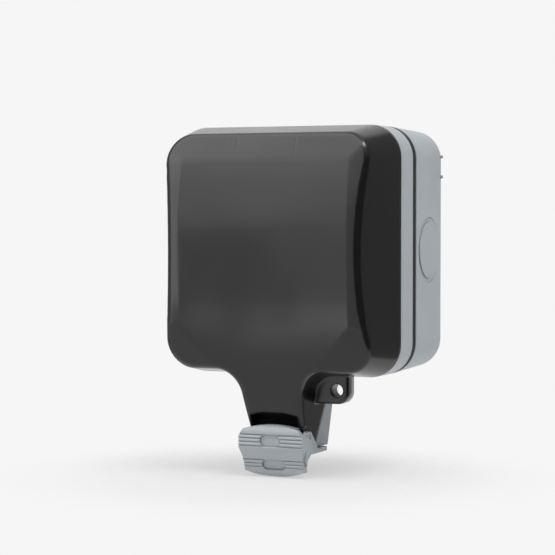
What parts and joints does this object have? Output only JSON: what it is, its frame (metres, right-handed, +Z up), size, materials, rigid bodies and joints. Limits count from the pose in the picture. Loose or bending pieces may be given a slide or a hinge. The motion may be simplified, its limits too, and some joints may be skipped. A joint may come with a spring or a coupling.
{
  "type": "weatherproof outdoor socket",
  "caption": "Wall-mounted weatherproof socket: drafted grey box and frame with a switched socket under a crowned black hinged lid, held by a ribbed rocker latch over the flex outlet.",
  "frame": {"origin": "centre of the wall-hole pattern, in the plane of the wall pads", "axes": "+X right, +Z up, +Y into the wall, so the lid faces -Y"},
  "size_m": [0.097, 0.0756, 0.1379],
  "materials": {
    "lid_black": "satin moulded",
    "housing_grey": "satin moulded",
    "latch_grey": "satin moulded",
    "seal_rubber": "matt",
    "plated_steel": "zinc plated",
    "plate_grey": "satin moulded",
    "base_dark": "matt moulded",
    "rocker_white": "gloss moulded",
    "shutter_white": "satin moulded",
    "contact_brass": "stamped"
  },
  "bodies": {
    "housing": {"back_box": "housing_grey", "box_gasket": "seal_rubber", "front_frame": "housing_grey", "frame_screws": "plated_steel", "frame_screw_seals": "seal_rubber", "hinge_pin": "plated_steel", "lower_cable_seal": "seal_rubber", "socket_plate": "plate_grey", "module_screws": "plated_steel", "socket_base": "base_dark", "shutter_spring": "plated_steel", "live_contact": "contact_brass", "neutral_contact": "contact_brass", "earth_contact": "contact_brass", "live_terminal": "contact_brass", "neutral_terminal": "contact_brass", "earth_terminal": "contact_brass", "terminal_screws": "plated_steel"},
    "lid": {"lid": "lid_black", "lid_seal": "seal_rubber", "upper_cable_seal": "seal_rubber", "latch_pin": "plated_steel"},
    "latch": {"latch": "latch_grey"},
    "rocker": {"rocker": "rocker_white", "rocker_plungers": "rocker_white", "rocker_springs": "plated_steel"},
    "switch_arms": {"live_arm": "contact_brass", "neutral_arm": "contact_brass"},
    "shutter": {"shutter": "shutter_white"}
  },
  "joints": [
    {"name": "lid_hinge", "type": "hinge", "parent": "housing", "child": "lid", "pos_m": [0, -0.0476, 0.0469], "axis": [-1, 0, 0], "range_deg": [0, 95]},
    {"name": "latch_pivot", "type": "hinge", "parent": "lid", "child": "latch", "pos_m": [0, -0.058, -0.0727], "axis": [-1, 0, 0], "range_deg": [0, 12]},
    {"name": "rocker_tilt", "type": "hinge", "parent": "housing", "child": "rocker", "pos_m": [0, -0.0334, 0.0215], "axis": [1, 0, 0], "range_deg": [0, 12]},
    {"name": "arm_rock", "type": "hinge", "parent": "housing", "child": "switch_arms", "pos_m": [0, -0.0244, 0.0215], "axis": [1, 0, 0], "range_deg": [-10, 0]},
    {"name": "shutter_slide", "type": "slide", "parent": "housing", "child": "shutter", "axis": [0, 0, -1], "range_m": [0, 0.0062], "stiffness_N_per_m": 120, "springref_m": -0.004, "deforming": ["shutter_spring"]}
  ],
  "couplings": [
    {"joint": "arm_rock", "follows": "rocker_tilt", "ratio": -0.8333}
  ]
}
